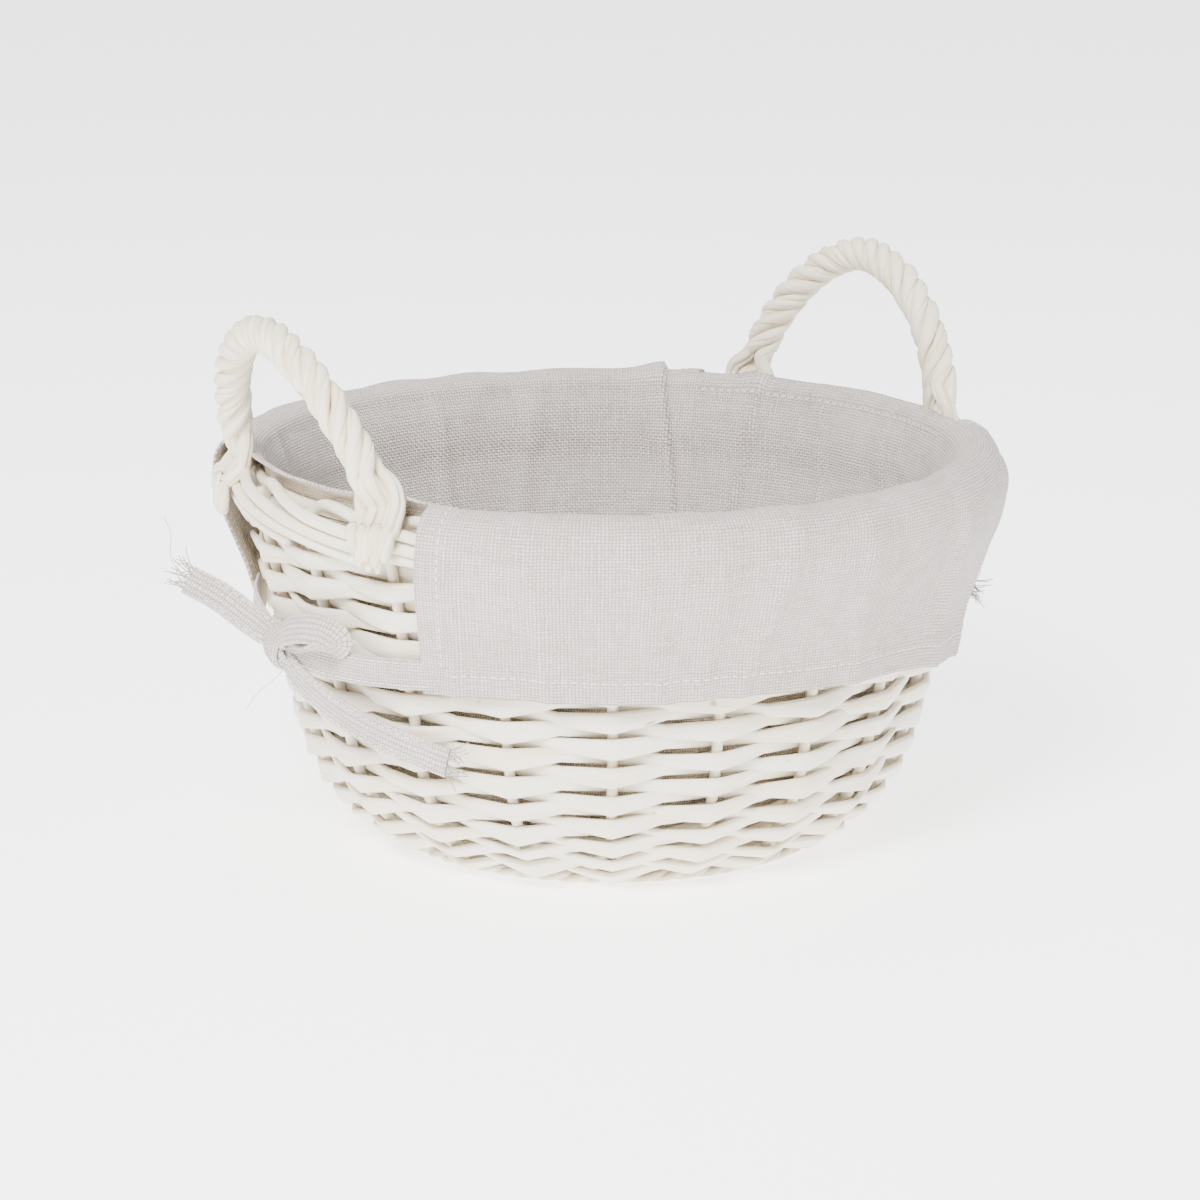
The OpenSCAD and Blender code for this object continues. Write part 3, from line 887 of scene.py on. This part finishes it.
def hem_stitches():
    """Rows of stitches inside each flap's hems and along the plain hems under the handles."""
    shell = Shell()
    inset = HEM - 1.3
    for low, high in FLAPS.values():
        reach = inset / 125 * 180 / np.pi
        across = np.linspace(low + reach, high - reach, 400)
        stitch_row(shell, across, np.full(400, BAND - inset))
        down = np.linspace(CREST_V - 1, BAND - inset, 120)
        stitch_row(shell, np.full(120, low + reach), down)
        stitch_row(shell, np.full(120, high - reach), down)
    for low, high in ((141.0, 202.0), (332.0, 394.0)):
        across = np.linspace(low + 0.5, high - 0.5, 200)
        stitch_row(shell, across, np.full(200, HEM_TOP_V - inset))
    return shell.make("hem_stitches", THREAD_WHITE.material, "linen")


stitches = hem_stitches()

# %% [markdown]
# Each tie is a folded tape of the same linen, sewn behind a flap's corner. Under each handle two tapes meet:
# one makes the loop of a half bow, the other is wrapped round it, and their free ends hang with frayed
# threads. A tape is a flat superellipse carried along a path through the given points, gathered at the knot.

# %% Ties
TAPE_W, TAPE_T = 10.0, 1.25


def tape(shell, points, refs=None, gather=(False, False), shift=0.0, width=TAPE_W):
    """A tape through the points; gather narrows and thickens its start or its end where it is knotted."""
    path = smooth_path(points, 14 * len(points))
    t = np.linspace(0, 1, len(path))
    facing = radial(path) if refs is None else unit(smooth_path(refs, len(path)))
    pull = np.zeros(len(path))
    reach = 9.0 / lengths(path)[-1]
    if gather[0]:
        pull = pull + np.exp(-(t / reach) ** 2)
    if gather[1]:
        pull = pull + np.exp(-((1 - t) / reach) ** 2)
    wide = width / 2 * (1 - 0.42 * pull)
    thick = TAPE_T / 2 * (1 + 1.2 * pull)
    flat = oval(1, 1, 28, 4.5)
    section = flat[None] * np.stack([thick, wide], -1)[:, None]
    curl = 0.55 * np.cos(1.3 * np.pi * flat[:, 1]) + 0.25 * np.sin(2 * np.pi * flat[:, 1])
    section[..., 0] += curl[None] * (0.25 + 0.5 * pull)[:, None]
    across = np.concatenate([section[0, :, 1], section[0, :1, 1]])
    shell.add(carry(path, section, facing), lengths(path), across, shift=shift)
    return path, facing


def frayed_end(shell, path, facing, seed, count=26, length=7.5):
    """Loose yarns that leave the cut end of a tape and fan out: an end point, a lean and a curl for each."""
    rng = np.random.default_rng(seed)
    travel = unit(path[-1] - path[-4])
    side = unit(np.cross(travel, facing[-1]))
    for k in range(count):
        start = path[-2] + side * rng.uniform(-0.5, 0.5) * TAPE_W * 0.92
        start = start + facing[-1] * rng.uniform(-0.4, 0.4)
        reach = length * rng.uniform(0.4, 1.15)
        lean = side * rng.normal(0, 0.28) + facing[-1] * rng.normal(0, 0.22)
        curl = side * rng.normal(0, 0.3) + facing[-1] * rng.normal(0, 0.3)
        t = np.linspace(0, 1, 8)[:, None]
        line = start + travel * reach * t + lean * reach * t + curl * reach * t ** 2
        shell.add(carry(line, oval(0.17, 0.17, 5), facing[-1:]), lengths(line), np.linspace(0, 1, 6))


def loose_thread(shell, points):
    """A single thread on a smooth curve through the points."""
    path = smooth_path(points, 40)
    grid = carry(path, oval(0.13, 0.13, 5), radial(path) + [0.0, 0.0, 0.3])
    shell.add(grid, lengths(path), np.linspace(0, 1, 6))


def tape_stitches(shell, path, facing):
    """Two sewn lines along a tape, each stitch a small tube just above the cloth."""
    side = unit(np.cross(np.gradient(path, axis=0), facing))
    dist = lengths(path)[:-1]
    for edge in (-0.36, 0.36):
        line = path + side * edge * TAPE_W + facing * (TAPE_T / 2 + 0.1)
        for begin in np.arange(5.0, dist[-1] - 8.0, 3.3):
            at = np.interp(begin + np.linspace(0, 2.2, 4), dist, np.arange(len(path)))
            spot = np.stack([np.interp(at, np.arange(len(path)), line[:, k]) for k in range(3)], -1)
            out = facing[int(at[0])]
            spot = spot - out * np.array([0.3, 0.0, 0.0, 0.3])[:, None]
            grid = carry(spot, oval(0.18, 0.24, 6), out[None])
            shell.add(grid, lengths(spot), np.linspace(0, 1.4, 7))


def knot_band(shell, at, lean, half):
    """A tape wound once round the knot: an ellipse of half-sizes `half` out from the wall and along it."""
    centre = polar(at)
    out = radial(centre)
    along = np.cross([0.0, 0.0, 1.0], out)
    first = np.cos(lean) * np.array([0.0, 0.0, 1.0]) + np.sin(lean) * along
    across = np.cross(out, first)
    turn = np.linspace(0, 2 * np.pi, 64, endpoint=False)
    path = centre + half[0] * np.cos(turn)[:, None] * out + half[1] * np.sin(turn)[:, None] * first
    path = path + 0.6 * np.sin(2 * turn)[:, None] * across
    refs = np.cos(turn)[:, None] * out + np.sin(turn)[:, None] * first * half[0] / half[1]
    flat = oval(1, 1, 20, 2.6)
    wide = 4.3 * (1 + 0.12 * np.sin(3 * turn + 1))
    section = flat[None] * np.stack([0.95 + 0 * turn, wide], -1)[:, None]
    section[..., 0] += 0.28 * np.cos(3.2 * np.pi * flat[:, 1])[None]
    widths = np.concatenate([section[0, :, 1], section[0, :1, 1]])
    shell.add(carry(path, section, refs, True), lengths(path, True), widths, True)


def bow(side, sewn, knot, straps, loop, lying, standing, standing_refs, seed):
    """One half bow: two straps, a loop, two free ends with frays, and the wrapped knot."""
    front, back_tie, knot_shell = Shell(), Shell(), Shell()
    threads, sewing = Shell(), Shell()
    for shell, points, shift in ((front, straps[0], 0.0), (back_tie, straps[1], 400.0)):
        path, facing = tape(shell, polar(points), gather=(False, True), shift=shift)
        tape_stitches(sewing, path, facing)
    path, facing = tape(front, polar(lying), gather=(True, False), shift=150.0)
    frayed_end(threads, path, facing, seed)
    tape_stitches(sewing, path, facing)
    path, facing = tape(back_tie, standing, standing_refs, gather=(True, False), shift=700.0)
    frayed_end(threads, path, facing, seed + 1)
    tape_stitches(sewing, path, facing)
    points = polar(loop)
    outward = unit(points - points.mean(0)) + 0.75 * radial(points)
    tape(back_tie, points, outward, gather=(True, True), shift=900.0)
    knot_band(knot_shell, knot, 0.35, (4.9, 6.8))
    knot_band(knot_shell, [knot[0], knot[1] - 0.8, knot[2] - 1.5], -0.45, (3.9, 5.6))
    for points in sewn:
        loose_thread(threads, points)
    made = [front.make(f"{side}_front_tie", LINEN, "linen", [f"{side}_tie_front", f"{side}_tie_tails"]),
            back_tie.make(f"{side}_back_tie", LINEN, "linen", [f"{side}_tie_back", f"{side}_tie_loop"]),
            knot_shell.make(f"{side}_bow_knot", LINEN, "linen", [f"{side}_tie_knot"])]
    frays = threads.make(f"{side}_frayed_yarns", LINEN, "linen")
    seams = sewing.make(f"{side}_tie_stitches", THREAD_WHITE.material, "linen")
    return made, frays, seams


near_bow = bow(
    "near",
    sewn=[[[-140, 50, 97], [-143, 54, 104], [-141, 57, 112], [-144, 56, 118]],
          [[-121, 20, 72], [-124, 24, 66], [-126, 30, 61], [-129, 33, 55]]],
    knot=[169.8, 123.4, 78.0],
    straps=([[203.5, 119.6, 79.2], [197, 121.0, 78.4], [189, 121.2, 77.2], [181, 121.4, 76.6],
             [175, 122.4, 77.0], [170.5, 123.4, 77.8]],
            [[140, 119.8, 83], [148, 120.8, 82.2], [157, 121.2, 80.6], [164, 122.2, 79.2],
             [169, 123.4, 78.4]]),
    loop=[[170.5, 124.6, 79], [173.5, 128, 83.6], [177.5, 130, 87.4], [181.5, 130.4, 89.6],
          [185, 129.4, 89.6],
          [186.4, 127.2, 87], [184.4, 125, 83.6], [179, 123.6, 80.6], [174, 123.4, 78.6],
          [170.5, 123.8, 77.6]],
    lying=[[170.5, 123.8, 76.5], [173.5, 123.6, 70.5], [178.5, 120.6, 63.5], [186, 118.0, 57.5],
           [194.5, 116.0, 53], [203, 114.6, 49]],
    standing=[[-121.4, 21.8, 78.5], [-124.6, 25.5, 81.5], [-128.5, 32.5, 86.5],
              [-133.2, 41, 92.5], [-139.2, 50, 97.5]],
    standing_refs=[[-0.8, -0.3, 0.3], [-0.75, -0.5, 0.45], [-0.7, -0.55, 0.5], [-0.65, -0.6, 0.5],
                   [-0.6, -0.6, 0.55]],
    seed=61)
far_bow = bow(
    "far",
    sewn=[[[139, -36, 68], [141, -39, 73], [142, -37, 80], [140, -40, 85]]],
    knot=[-14, 123.4, 78.0],
    straps=([[330.5, 119.6, 79.2], [336, 121.2, 79], [341, 122.4, 78.6], [345.5, 123.4, 78.2]],
            [[35, 119.6, 79.4], [26, 121.0, 79], [15, 121.2, 78], [4, 121.2, 77.4], [-7, 121.8, 77.6],
             [-13.4, 123.4, 78]]),
    loop=[[-14.5, 124.2, 79], [-18, 127.2, 83], [-22.5, 129.0, 87], [-27, 129.6, 89.4], [-31, 128.8, 89.2],
          [-32.6, 126.2, 86.4], [-30, 124.6, 83], [-24, 123.6, 80.4], [-18, 123.2, 78.6],
          [-14.5, 123.4, 77.8]],
    lying=[[-13.5, 123.8, 76.5], [-10, 123.4, 72.5], [-4, 120.6, 67.5], [3, 118.2, 62], [14, 116.0, 54]],
    standing=[[120.5, -27.5, 78], [124.5, -27.5, 77], [129, -29.5, 74.5], [134.5, -32.5, 71],
              [139.2, -35.4, 67.8]],
    standing_refs=[[0.5, -0.7, 0.4], [0.3, -0.8, 0.5], [0.2, -0.8, 0.55], [0.2, -0.8, 0.55],
                   [0.2, -0.8, 0.55]],
    seed=81)
